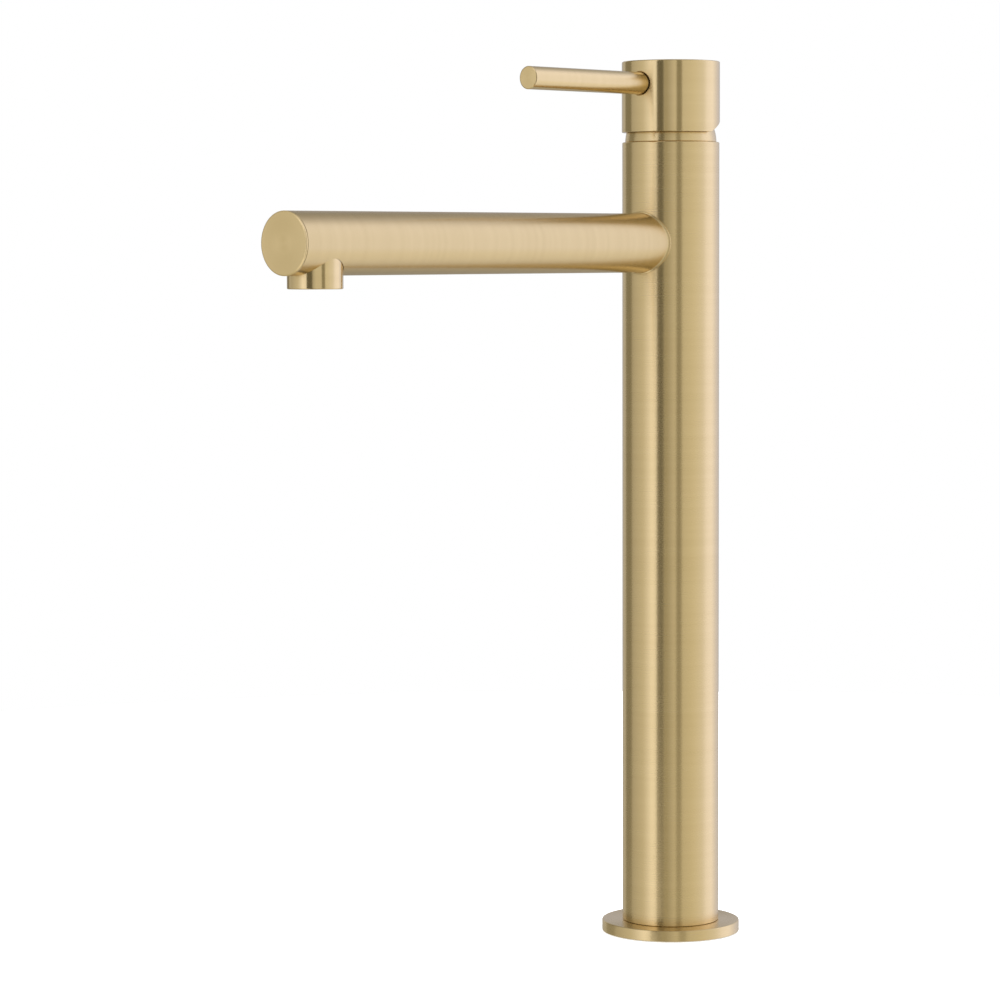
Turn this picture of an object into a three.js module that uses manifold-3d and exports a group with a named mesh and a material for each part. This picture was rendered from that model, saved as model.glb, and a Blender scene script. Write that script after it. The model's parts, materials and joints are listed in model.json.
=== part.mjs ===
// A tall single-lever basin mixer for a deck, with a fixed horizontal spout and a pin lever.
//
// Frame: millimetres, +Z up. The origin is the middle of the foot, on the deck. The spout and the
// lever point along -Y, towards the user, so hot water is at -X and cold water at +X.
//
// The column is a tube. A brass foot closes its lower end and takes the two supply hoses and the
// fixing stud. Two supply tubes lead up inside it to the valve body, which holds the ceramic
// cartridge. A hollow nipple leads the mixed water out through the column wall and carries the
// spout. The cap turns about the column for temperature and tilts back about the pivot pin for flow.
import * as THREE from "three";
import { mergeVertices } from "three/addons/utils/BufferGeometryUtils.js";
import Module from "manifold-3d";

const wasm = await Module();
wasm.setup();

// ---- Driving dimensions ----
const COLUMN_R = 17.5;
const COLUMN_WALL = 2.5;
const COLUMN_TOP = 286.8;
const FLANGE_R = 25;
const FLANGE_H = 4;
const SPOUT_Z = 250.6;
const SPOUT_R = 10.5;
const SPOUT_WALL = 1.1;
const SPOUT_REACH = 196; // column axis to the spout's end face
const OUTLET_REACH = 181.8; // column axis to the middle of the outlet
const OUTLET_BOTTOM = 235.8;
const OUTLET_R = 9.15;
const PIVOT_Z = 286.5; // the tilt axis, which is also the centre of the neck dome
const DOME_R = 16.45;
const CAP_R = 17.65;
const CAP_BOTTOM = 290.3;
const CAP_TOP = 315.7;
const LEVER_Z = 307.4;
const LEVER_R = 4;
const LEVER_REACH = 77.6; // column axis to the lever's end face
const RELIEF_ANGLE = THREE.MathUtils.degToRad(23.3); // slope of the cut under the back of the cap
const RELIEF_START = 1.7; // where that cut begins, behind the column axis

// ---- Clearances ----
const FIT = 0.15; // between round pieces that sit in one another
const SEAT = 0.1; // between faces that rest on one another
const SHIFT = 0.3; // around pieces that move

// ---- Places shared by several pieces ----
const COLUMN_BORE = COLUMN_R - COLUMN_WALL;
const INSERT_R = COLUMN_BORE - FIT; // the foot and the valve body, inside the column
const SUPPLY_X = 9.3;
const SUPPLY_Y = -2;
const SUPPLY_R = 4;
const SUPPLY_BORE = 2.5;
const SUPPLY_SOCKET_R = SUPPLY_R + 0.2;
const FOOT_TOP = 24;
const FOOT_SOCKET_FLOOR = 16.5;
const VALVE_BOTTOM = 232;
const VALVE_SOCKET_ROOF = 242.3;
const VALVE_TOP = 284.3;
const CUP_FLOOR = 261.5;
const CUP_R = 12.6;
const THREAD_BOTTOM = 278;
const THREAD_R = 13.6;
const NIPPLE_R = 5.9;
const NIPPLE_HOLE_R = NIPPLE_R + FIT;
const NIPPLE_LENGTHS = { inner: 6.2, outer: 36 }; // distances from the column axis
const NIPPLE_GROOVES = [11, 30];
const SPOUT_SCREW_AT = 23;
const INLET_PORT = { x: 3.7, y: -3.7, r: 1.7 }; // x is for cold, and hot mirrors it
const OUTLET_PORT = { x: 0, y: 2.4, r: 2.3 };
const BALL_DROP = 9.5; // pivot to the ball that drives the moving disc
const STEM_HALF = 3;

// ---- Roundness of turned pieces, in sides ----
const FINE = 36;
const MEDIUM = 24;
const COARSE = 16;

// ---- Solids ----

// A closed geometry as a manifold-3d solid.
function solidOf(geometry) {
  const bare = new THREE.BufferGeometry();
  bare.setAttribute("position", geometry.getAttribute("position"));
  bare.setIndex(geometry.getIndex());
  const merged = mergeVertices(bare, 1e-4);
  const corners = merged.getIndex().array;
  const triVerts = [];
  for (let i = 0; i < corners.length; i += 3) {
    const [a, b, c] = [corners[i], corners[i + 1], corners[i + 2]];
    if (a !== b && b !== c && c !== a) triVerts.push(a, b, c);
  }
  const vertProperties = merged.getAttribute("position").array;
  const mesh = new wasm.Mesh({ numProp: 3, vertProperties, triVerts: new Uint32Array(triVerts) });
  return new wasm.Manifold(mesh);
}

// A solid's surface as a geometry.
function geometryOf(solid) {
  const mesh = solid.getMesh();
  const geometry = new THREE.BufferGeometry();
  geometry.setAttribute("position", new THREE.BufferAttribute(mesh.vertProperties, 3));
  geometry.setIndex(new THREE.BufferAttribute(mesh.triVerts, 1));
  geometry.computeVertexNormals();
  return geometry;
}

// The geometry made by turning an outline of [radius, height] points about +Z.
function latheOf(outline, sides) {
  const points = outline.map(([r, z]) => new THREE.Vector2(r, z));
  if (THREE.ShapeUtils.area(points) < 0) points.reverse();
  const last = points.at(-1);
  if (points[0].x > 0 || last.x > 0) points.push(points[0].clone());
  return new THREE.LatheGeometry(points, sides).rotateX(Math.PI / 2);
}

const turned = (outline, sides) => solidOf(latheOf(outline, sides));

// A ring of rectangular section.
const ring = (inner, outer, bottom, top, sides) =>
  turned([[inner, bottom], [outer, bottom], [outer, top], [inner, top]], sides);

// An O-ring about +Z with its middle at height z.
function oRing(ringR, sectionR, z, sides = COARSE) {
  const outline = [];
  for (let i = 0; i < 4; i++) {
    const a = (i * Math.PI) / 2;
    outline.push([ringR + sectionR * Math.cos(a), z + sectionR * Math.sin(a)]);
  }
  return turned(outline, sides);
}

// A cylinder about +Z.
function rod(r, bottom, top, sides = COARSE) {
  const geometry = new THREE.CylinderGeometry(r, r, top - bottom, sides).rotateX(Math.PI / 2);
  return solidOf(geometry.translate(0, 0, (bottom + top) / 2));
}

// A cylinder between two points.
function drilling(r, from, to, sides = COARSE) {
  const along = new THREE.Vector3().subVectors(to, from);
  const geometry = new THREE.CylinderGeometry(r, r, along.length(), sides);
  const up = new THREE.Vector3(0, 1, 0);
  const turn = new THREE.Quaternion().setFromUnitVectors(up, along.clone().normalize());
  geometry.applyQuaternion(turn);
  const middle = new THREE.Vector3().addVectors(from, to).multiplyScalar(0.5);
  return solidOf(geometry.translate(middle.x, middle.y, middle.z));
}

// A box from its lowest to its highest corner.
function block(low, high) {
  const size = high.map((v, i) => v - low[i]);
  const middle = high.map((v, i) => (v + low[i]) / 2);
  return solidOf(new THREE.BoxGeometry(...size).translate(...middle));
}

// Outline points on a circle of radius r, between two angles in degrees.
function arc(x, y, r, from, to, steps) {
  const points = [];
  for (let i = 0; i <= steps; i++) {
    const a = THREE.MathUtils.degToRad(from + ((to - from) * i) / steps);
    points.push([x + r * Math.cos(a), y + r * Math.sin(a)]);
  }
  return points;
}

const v3 = (x, y, z) => new THREE.Vector3(x, y, z);
const cut = (solid, ...tools) => tools.reduce((left, tool) => left.subtract(tool), solid);
const join = (solid, ...others) => others.reduce((sum, other) => sum.add(other), solid);

// ---- Materials ----
const finish = (color, roughness, metalness) =>
  new THREE.MeshStandardMaterial({ color, roughness, metalness });

const brushedBrass = finish(0xc6aa78, 0.3, 1);
const rawBrass = finish(0xb9975a, 0.45, 1);
const copper = finish(0xb87750, 0.35, 1);
const steel = finish(0xb9bbbd, 0.3, 1);
const rubber = finish(0x1b1b1c, 0.85, 0);
const housingPlastic = finish(0xe9e7df, 0.5, 0);
const turretPlastic = finish(0x3d4c5c, 0.5, 0);
const aeratorPlastic = finish(0xd8d9d6, 0.45, 0);
const ceramic = finish(0xf3f1ea, 0.2, 0);

// ---- Scene graph ----
const mixer = new THREE.Group();

// Spout frame: local +Z runs along the spout and local +Y is up.
const spout = new THREE.Group();
spout.position.set(0, 0, SPOUT_Z);
spout.rotation.x = Math.PI / 2;
mixer.add(spout);

const outlet = new THREE.Group();
outlet.position.set(0, -OUTLET_REACH, 0);
mixer.add(outlet);

// Handle frame: its origin is on the tilt axis.
const handle = new THREE.Group();
handle.position.set(0, 0, PIVOT_Z);
mixer.add(handle);

// Lever frame: local +Z runs along the lever, from the column axis outwards.
const lever = new THREE.Group();
lever.position.set(0, 0, LEVER_Z - PIVOT_Z);
lever.rotation.x = Math.PI / 2;
handle.add(lever);

function piece(parent, name, solid, material) {
  const mesh = new THREE.Mesh(geometryOf(solid), material);
  mesh.name = name;
  parent.add(mesh);
  return mesh;
}

// ---- Foot: flange, deck seal and foot plug ----
const FOOT_SPIGOT_R = 14.6;
const HOSE_X = 8.7;
const HOSE_THREAD_R = 4.5; // M10 x 1
const HOSE_THREAD_DEPTH = 12;
const STUD_R = 3.4; // M8
const STUD_DEPTH = 14;
const STUD_Y = 8;

function addFoot() {
  const edge = 0.5;
  const seal = { inner: 17.5, outer: 22, depth: 1.6 };
  const flange = turned(
    [
      [FOOT_SPIGOT_R + 0.2, 0],
      [seal.inner, 0],
      [seal.inner, seal.depth],
      [seal.outer, seal.depth],
      [seal.outer, 0],
      [FLANGE_R, 0],
      ...arc(FLANGE_R - edge, FLANGE_H - edge, edge, 0, 90, 2),
      [FOOT_SPIGOT_R + 0.2, FLANGE_H],
    ],
    FINE,
  );
  piece(mixer, "base_flange", flange, brushedBrass);
  const gasket = ring(seal.inner + FIT, seal.outer - FIT, 0, seal.depth - SEAT, MEDIUM);
  piece(mixer, "deck_seal", gasket, rubber);

  const spigotTop = FLANGE_H + SHIFT;
  let foot = turned(
    [
      [0, 0],
      [FOOT_SPIGOT_R, 0],
      [FOOT_SPIGOT_R, spigotTop],
      [INSERT_R, spigotTop],
      [INSERT_R, FOOT_TOP],
      [0, FOOT_TOP],
    ],
    MEDIUM,
  );
  for (const side of [-1, 1]) {
    const x = side * SUPPLY_X;
    foot = cut(
      foot,
      rod(HOSE_THREAD_R, -1, HOSE_THREAD_DEPTH).translate(side * HOSE_X, SUPPLY_Y, 0),
      rod(SUPPLY_BORE, 1, FOOT_TOP).translate(x, SUPPLY_Y, 0),
      rod(SUPPLY_SOCKET_R, FOOT_SOCKET_FLOOR, FOOT_TOP + 1).translate(x, SUPPLY_Y, 0),
    );
  }
  foot = cut(foot, rod(STUD_R, -1, STUD_DEPTH).translate(0, STUD_Y, 0));
  piece(mixer, "foot_plug", foot, rawBrass);
}

// ---- Column ----
function addColumn() {
  const edge = 0.45;
  const tube = turned(
    [
      [COLUMN_BORE, FLANGE_H],
      [COLUMN_R, FLANGE_H],
      [COLUMN_R, COLUMN_TOP - edge],
      [COLUMN_R - edge, COLUMN_TOP],
      [COLUMN_BORE, COLUMN_TOP],
    ],
    FINE,
  );
  const nippleHole = drilling(NIPPLE_R + SHIFT, v3(0, 0, SPOUT_Z), v3(0, -COLUMN_R - 1, SPOUT_Z));
  piece(mixer, "column_tube", cut(tube, nippleHole), brushedBrass);
}

// ---- Supply tubes, each with a sealing ring at both ends ----
function addSupply(side, x) {
  const bottom = FOOT_SOCKET_FLOOR + SHIFT;
  const top = VALVE_SOCKET_ROOF - SHIFT;
  const groove = { floor: 3.25, half: 0.75, inset: 3.5 };
  const grooveAt = { lower: bottom + groove.inset, upper: top - groove.inset };
  const outline = [[SUPPLY_BORE, bottom], [SUPPLY_R, bottom]];
  for (const z of Object.values(grooveAt)) {
    outline.push([SUPPLY_R, z - groove.half], [groove.floor, z - groove.half]);
    outline.push([groove.floor, z + groove.half], [SUPPLY_R, z + groove.half]);
  }
  outline.push([SUPPLY_R, top], [SUPPLY_BORE, top]);
  const tube = piece(mixer, `supply_tube_${side}`, turned(outline, COARSE), copper);
  tube.position.set(x, SUPPLY_Y, 0);
  for (const [end, z] of Object.entries(grooveAt)) {
    const seal = piece(mixer, `supply_seal_${side}_${end}`, oRing(3.71, 0.42, z), rubber);
    seal.position.set(x, SUPPLY_Y, 0);
  }
}

// ---- Valve body: cartridge cup, two supply sockets and the mixed-water chamber ----
function addValveBody() {
  let body = turned(
    [
      [0, VALVE_BOTTOM],
      [INSERT_R, VALVE_BOTTOM],
      [INSERT_R, VALVE_TOP],
      [THREAD_R, VALVE_TOP],
      [THREAD_R, THREAD_BOTTOM],
      [CUP_R, THREAD_BOTTOM],
      [CUP_R, CUP_FLOOR],
      [0, CUP_FLOOR],
    ],
    MEDIUM,
  );
  const bendZ = CUP_FLOOR - 3.5; // where a supply passage turns in towards the cartridge
  for (const side of [-1, 1]) {
    const x = side * SUPPLY_X;
    const port = v3(side * INLET_PORT.x, INLET_PORT.y, CUP_FLOOR + 0.5);
    body = cut(
      body,
      rod(SUPPLY_SOCKET_R, VALVE_BOTTOM - 1, VALVE_SOCKET_ROOF).translate(x, SUPPLY_Y, 0),
      rod(2.2, VALVE_SOCKET_ROOF - 1, bendZ).translate(x, SUPPLY_Y, 0),
      drilling(INLET_PORT.r, v3(x, SUPPLY_Y, bendZ - 0.5), port),
    );
  }
  const chamber = drilling(NIPPLE_HOLE_R, v3(0, 7, SPOUT_Z), v3(0, -COLUMN_R, SPOUT_Z));
  const mixed = rod(OUTLET_PORT.r, SPOUT_Z, CUP_FLOOR + 1).translate(0, OUTLET_PORT.y, 0);
  piece(mixer, "valve_body", cut(body, chamber, mixed), rawBrass);
}

// ---- Cartridge: the pieces that stay still ----
const BASE_BOTTOM = 261.8;
const BASE_TOP = 265.5;
const HOUSING_R = 12.4;
const DISC_R = 10.8;
const DISC_SEAL_TOP = 266.3;
const FIXED_DISC_TOP = 269;
const CAVITY_ROOF = 281.4;
const SHOULDER = 282.9;
const NECK_TOP = 290;
const TURRET_R = 8;
const PORTS = [
  ["hot", -INLET_PORT.x, INLET_PORT.y, INLET_PORT.r],
  ["cold", INLET_PORT.x, INLET_PORT.y, INLET_PORT.r],
  ["mixed", OUTLET_PORT.x, OUTLET_PORT.y, OUTLET_PORT.r],
];

// A curved slot about the column axis, between two radii and two angles in degrees.
function kidney(inner, outer, from, to, bottom, top) {
  const [start, end] = [from, to].map(THREE.MathUtils.degToRad);
  const outline = new THREE.Shape();
  outline.absarc(0, 0, outer, start, end, false);
  outline.absarc(0, 0, inner, end, start, true);
  const depth = top - bottom;
  const geometry = new THREE.ExtrudeGeometry(outline, { depth, bevelEnabled: false, curveSegments: 4 });
  return solidOf(geometry.translate(0, 0, bottom));
}

// A disc with a curved slot for each supply and a round hole for the mixed water.
function slottedDisc(bottom, top) {
  const slot = { inner: 4.2, outer: 6.2 };
  const cold = kidney(slot.inner, slot.outer, -65, -25, bottom - 1, top + 1);
  const hot = kidney(slot.inner, slot.outer, -155, -115, bottom - 1, top + 1);
  const mixed = rod(OUTLET_PORT.r, bottom - 1, top + 1).translate(0, OUTLET_PORT.y, 0);
  return cut(rod(DISC_R, bottom, top, MEDIUM), cold, hot, mixed);
}

function addCartridgeBody() {
  const sealWidth = 1;
  const sealDepth = 1.3;
  let base = rod(HOUSING_R, BASE_BOTTOM, BASE_TOP, MEDIUM);
  for (const [name, x, y, portR] of PORTS) {
    const seatR = portR + sealWidth;
    base = cut(
      base,
      rod(portR, BASE_BOTTOM - 1, BASE_TOP + 1).translate(x, y, 0),
      rod(seatR, BASE_BOTTOM - 1, BASE_BOTTOM + sealDepth).translate(x, y, 0),
    );
    const sealTop = BASE_BOTTOM + sealDepth - SEAT;
    const seal = ring(portR, seatR - SEAT, CUP_FLOOR + SEAT, sealTop, COARSE);
    piece(mixer, `port_seal_${name}`, seal, rubber).position.set(x, y, 0);
  }
  piece(mixer, "cartridge_base", base, housingPlastic);
  piece(mixer, "disc_seal", slottedDisc(BASE_TOP, DISC_SEAL_TOP), rubber);
  piece(mixer, "fixed_disc", slottedDisc(DISC_SEAL_TOP, FIXED_DISC_TOP), ceramic);

  const wide = { r: 11.2, top: 273.8 };
  const narrowR = 10.7;
  const stepR = 11.8;
  const neckR = 9.8;
  const housing = turned(
    [
      [wide.r, BASE_TOP],
      [HOUSING_R, BASE_TOP],
      [HOUSING_R, THREAD_BOTTOM - 0.2],
      [stepR, THREAD_BOTTOM - 0.2],
      [stepR, SHOULDER],
      [neckR, SHOULDER],
      [neckR, NECK_TOP],
      [TURRET_R + 0.2, NECK_TOP],
      [TURRET_R + 0.2, CAVITY_ROOF],
      [narrowR, CAVITY_ROOF],
      [narrowR, wide.top],
      [wide.r, wide.top],
    ],
    MEDIUM,
  );
  piece(mixer, "cartridge_housing", housing, housingPlastic);
}

// ---- Retaining nut and the dome over it ----
function addNeck() {
  const nutR = THREAD_R - FIT;
  const headR = 12.9;
  const headTop = 289;
  const groove = { floor: 12, bottom: 286.7, top: 288.3 };
  const shoulder = SHOULDER + SEAT;
  const bore = 9.95;
  const nut = turned(
    [
      [12, THREAD_BOTTOM + SHIFT],
      [nutR, THREAD_BOTTOM + SHIFT],
      [nutR, VALVE_TOP],
      [headR, VALVE_TOP],
      [headR, groove.bottom],
      [groove.floor, groove.bottom],
      [groove.floor, groove.top],
      [headR, groove.top],
      [headR, headTop],
      [bore, headTop],
      [bore, shoulder],
      [12, shoulder],
    ],
    MEDIUM,
  );
  const slotHalf = 1.3;
  const slotFloor = groove.top - 0.5;
  const slots = [
    block([-CAP_R, -slotHalf, slotFloor], [CAP_R, slotHalf, headTop + 1]),
    block([-slotHalf, -CAP_R, slotFloor], [slotHalf, CAP_R, headTop + 1]),
  ];
  piece(mixer, "retaining_nut", cut(nut, ...slots), rawBrass);
  const gripZ = (groove.bottom + groove.top) / 2 - 0.3;
  piece(mixer, "dome_grip_ring", oRing(12.55, 0.45, gripZ, MEDIUM), rubber);

  // The dome's heights are counted from the pivot, which is its centre.
  const shell = 1.1;
  const foot = COLUMN_TOP - PIVOT_Z;
  const low = THREE.MathUtils.radToDeg(Math.asin(foot / DOME_R));
  const high = 51.2; // the mouth, wide enough for the tilting stem
  const skirt = { inner: headR + 0.25, outer: INSERT_R, bottom: VALVE_TOP + SHIFT - PIVOT_Z };
  const dome = turned(
    [
      [skirt.inner, skirt.bottom],
      [skirt.outer, skirt.bottom],
      [skirt.outer, foot],
      ...arc(0, 0, DOME_R, low, high, 5),
      ...arc(0, 0, DOME_R - shell, high, 20, 3),
      [skirt.inner, 4],
    ],
    FINE,
  );
  piece(mixer, "neck_dome", dome, brushedBrass).position.z = PIVOT_Z;
}

// ---- Turret, pivot pin, disc carrier and moving disc ----
const PIN_R = 1.25;
const MOVING_DISC_BOTTOM = FIXED_DISC_TOP + SEAT;
const MOVING_DISC_TOP = 272.1;
const CARRIER_TOP = 279.6;
const CARRIER_PLATE_TOP = 274;
const CARRIER_BOSS_R = 4.9;

function addTurret() {
  const flange = { r: 10.4, bottom: CARRIER_TOP + SHIFT, top: CAVITY_ROOF - 0.2 };
  const top = 291;
  const body = turned(
    [
      [0, flange.bottom],
      [flange.r, flange.bottom],
      [flange.r, flange.top],
      [TURRET_R, flange.top],
      [TURRET_R, top],
      [0, top],
    ],
    MEDIUM,
  );
  // Two rails under the flange keep the disc carrier in line with the lever.
  const rail = { near: CARRIER_BOSS_R + SHIFT, far: 6.6, half: 6.5 };
  const rails = [-1, 1].map((side) => {
    const edges = [side * rail.near, side * rail.far].sort((a, b) => a - b);
    return block(
      [edges[0], -rail.half, CARRIER_PLATE_TOP + SHIFT],
      [edges[1], rail.half, flange.bottom + 1],
    );
  });
  const slot = block([-STEM_HALF - 0.2, -6, flange.bottom - 1], [STEM_HALF + 0.2, 6, top + 1]);
  const pinHole = drilling(PIN_R + 0.05, v3(-CAP_R, 0, PIVOT_Z), v3(CAP_R, 0, PIVOT_Z), 16);
  piece(mixer, "turret", cut(join(body, ...rails), slot, pinHole), turretPlastic);
  const pinEnd = TURRET_R - 0.2;
  const pin = drilling(PIN_R, v3(-pinEnd, 0, PIVOT_Z), v3(pinEnd, 0, PIVOT_Z), 16);
  piece(mixer, "pivot_pin", pin, steel);
}

function addMovingDisc() {
  // The disc's middle sits half a stroke behind the axis, so that it stays in the housing.
  const discY = 2;
  const disc = rod(8.6, MOVING_DISC_BOTTOM, MOVING_DISC_TOP, MEDIUM).translate(0, discY, 0);
  // At rest the pocket under the disc lies inside the ring of the supply slots. As the disc slides
  // forward, the pocket joins them to the mixed-water hole.
  const pocket = { r: 3.5, back: 2.6, depth: 1.6 };
  const floor = MOVING_DISC_BOTTOM - 1;
  const roof = MOVING_DISC_BOTTOM + pocket.depth;
  const scoop = join(
    rod(pocket.r, floor, roof),
    rod(pocket.r, floor, roof).translate(0, pocket.back, 0),
    block([-pocket.r, 0, floor], [pocket.r, pocket.back, roof]),
  );
  piece(mixer, "moving_disc", cut(disc, scoop), ceramic);

  const plate = rod(8.2, MOVING_DISC_TOP, CARRIER_PLATE_TOP, MEDIUM).translate(0, discY, 0);
  const boss = rod(CARRIER_BOSS_R, MOVING_DISC_TOP, CARRIER_TOP);
  const ballSocket = rod(2.75, CARRIER_PLATE_TOP - 0.1, CARRIER_TOP + 1);
  piece(mixer, "disc_carrier", cut(join(plate, boss), ballSocket), turretPlastic);
}

// ---- Handle: stem, cap, lever pin and its set screw ----
const STEM_TOP = 311 - PIVOT_Z;
const HEX_SCREW_R = 2.9;
const LEVER_SEAT = 15.3; // depth of the recess that the lever stands in, from the column axis

function addStem() {
  const ballR = 2.4;
  const neckR = 1.5;
  const barBottom = -4.5;
  const bar = block([-STEM_HALF, -STEM_HALF, barBottom], [STEM_HALF, STEM_HALF, STEM_TOP]);
  const neck = rod(neckR, -BALL_DROP, barBottom + 1);
  const ball = solidOf(new THREE.SphereGeometry(ballR, 16, 10).translate(0, 0, -BALL_DROP));
  const pinHole = drilling(PIN_R + 0.15, v3(-CAP_R, 0, 0), v3(CAP_R, 0, 0), 16);
  piece(handle, "stem", cut(join(bar, neck, ball), pinHole), steel);
}

function addCap() {
  const edge = 0.5;
  const bottom = CAP_BOTTOM - PIVOT_Z;
  const top = CAP_TOP - PIVOT_Z;
  const hollowR = DOME_R + 0.4; // runs round the dome as the cap tilts
  const rim = THREE.MathUtils.radToDeg(Math.asin(bottom / hollowR));
  const shell = turned(
    [
      [0, hollowR],
      ...arc(0, 0, hollowR, 90, rim, 6).slice(1),
      [CAP_R, bottom],
      ...arc(CAP_R - edge, top - edge, edge, 0, 90, 2),
      [0, top],
    ],
    FINE,
  );
  const socketHalf = STEM_HALF + 0.15;
  const socket = block(
    [-socketHalf, -socketHalf, hollowR - 2],
    [socketHalf, socketHalf, STEM_TOP + SHIFT],
  );
  // Under the back, a sloping cut leaves room for the cap to tilt.
  const size = 60;
  const slope = new THREE.BoxGeometry(size, size, size).translate(0, size / 2, -size / 2);
  slope.rotateX(RELIEF_ANGLE).translate(0, RELIEF_START, bottom);
  const leverZ = LEVER_Z - PIVOT_Z;
  const recess = drilling(LEVER_R + 0.42, v3(0, -LEVER_SEAT, leverZ), v3(0, -size, leverZ), 28);
  const thread = drilling(HEX_SCREW_R + FIT, v3(0, 0, leverZ), v3(0, -size, leverZ));
  piece(handle, "handle_cap", cut(shell, socket, solidOf(slope), recess, thread), brushedBrass);
}

function addLever() {
  const edge = 0.4;
  const shoulder = LEVER_SEAT + SHIFT;
  const spigotEnd = 9.6;
  const pin = turned(
    [
      [0, spigotEnd],
      [HEX_SCREW_R, spigotEnd],
      [HEX_SCREW_R, shoulder],
      [LEVER_R, shoulder],
      [LEVER_R, LEVER_REACH - edge],
      [LEVER_R - edge, LEVER_REACH],
      [0, LEVER_REACH],
    ],
    28,
  );
  piece(lever, "lever_pin", pin, brushedBrass);
  const screw = rod(HEX_SCREW_R, STEM_HALF + 2 * FIT, spigotEnd - 0.5);
  const key = rod(1.7, spigotEnd - 3, spigotEnd + 1, 6);
  piece(lever, "stem_set_screw", cut(screw, key), steel);
}

// ---- Spout: tube, end plug, socket, nipple, seals and set screw ----

// Bends the column end of a lathe geometry so that it follows the round wall of the column.
function fitToColumn(geometry, wallR, flatFrom) {
  const place = geometry.getAttribute("position");
  for (let i = 0; i < place.count; i++) {
    const z = place.getZ(i);
    const fade = THREE.MathUtils.clamp((flatFrom - z) / (flatFrom - wallR), 0, 1);
    const sag = Math.sqrt(wallR ** 2 - place.getX(i) ** 2) - wallR;
    place.setZ(i, z + sag * fade);
  }
  return geometry;
}

function addSpout() {
  const wallR = COLUMN_R + SHIFT;
  const bore = SPOUT_R - SPOUT_WALL;
  const flare = { length: 18, growth: 0.75, power: 2.6 };
  const plugFace = 0.75;
  const tubeEnd = SPOUT_REACH - plugFace;
  const flareSteps = 5;
  const outer = [];
  for (let i = 0; i <= flareSteps; i++) {
    const share = 1 - i / flareSteps;
    outer.push([SPOUT_R + flare.growth * share ** flare.power, wallR + flare.length * (1 - share)]);
  }
  const flatFrom = wallR + 19; // beyond this the rings are flat
  const outline = [
    [bore, wallR],
    ...outer,
    [SPOUT_R, flatFrom],
    [SPOUT_R, tubeEnd],
    [bore, tubeEnd],
    [bore, flatFrom],
  ];
  const tube = solidOf(fitToColumn(latheOf(outline, FINE), wallR, flatFrom));
  const outletFrom = v3(0, -20, OUTLET_REACH);
  const outletTo = v3(0, -2.5, OUTLET_REACH);
  const outletHole = drilling(OUTLET_R + FIT, outletFrom, outletTo, MEDIUM);
  const screwHole = drilling(2.05, v3(0, -20, SPOUT_SCREW_AT), v3(0, 0, SPOUT_SCREW_AT), 16);
  piece(spout, "spout_tube", cut(tube, outletHole, screwHole), brushedBrass);

  const edge = 0.45;
  const plug = turned(
    [
      [0, tubeEnd - 3],
      [bore - FIT, tubeEnd - 3],
      [bore - FIT, tubeEnd + SEAT],
      [SPOUT_R, tubeEnd + SEAT],
      [SPOUT_R, SPOUT_REACH - edge],
      [SPOUT_R - edge, SPOUT_REACH],
      [0, SPOUT_REACH],
    ],
    FINE,
  );
  piece(spout, "spout_end_plug", plug, brushedBrass);

  const socketStart = 19;
  const socketEnd = NIPPLE_LENGTHS.outer + 0.5;
  const socket = ring(NIPPLE_HOLE_R, bore - FIT, socketStart, socketEnd, MEDIUM);
  piece(spout, "spout_socket", cut(socket, screwHole), rawBrass);

  const screw = drilling(1.9, v3(0, -6.2, SPOUT_SCREW_AT), v3(0, -9.9, SPOUT_SCREW_AT), 16);
  const key = drilling(1.15, v3(0, -8.3, SPOUT_SCREW_AT), v3(0, -11, SPOUT_SCREW_AT), 6);
  piece(spout, "spout_set_screw", cut(screw, key), steel);
}

function addNipple() {
  const bore = 3.6;
  const groove = { floor: 4.8, half: 0.9 };
  const bite = { floor: 5.4, half: 1.4 }; // where the spout's set screw grips
  const { inner, outer } = NIPPLE_LENGTHS;
  const grooves = NIPPLE_GROOVES.map((at) => ({ at, ...groove }));
  grooves.push({ at: SPOUT_SCREW_AT, ...bite });
  grooves.sort((a, b) => a.at - b.at);
  const outline = [[bore, inner], [NIPPLE_R, inner]];
  for (const { at, floor, half } of grooves) {
    outline.push([NIPPLE_R, at - half], [floor, at - half]);
    outline.push([floor, at + half], [NIPPLE_R, at + half]);
  }
  outline.push([NIPPLE_R, outer], [bore, outer]);
  const key = rod(4.1, outer - 5, outer + 1, 6);
  piece(spout, "spout_nipple", cut(turned(outline, COARSE), key), rawBrass);
  NIPPLE_GROOVES.forEach((at, i) => {
    piece(spout, `nipple_seal_${i + 1}`, oRing(5.36, 0.48, at), rubber);
  });
}

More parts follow.
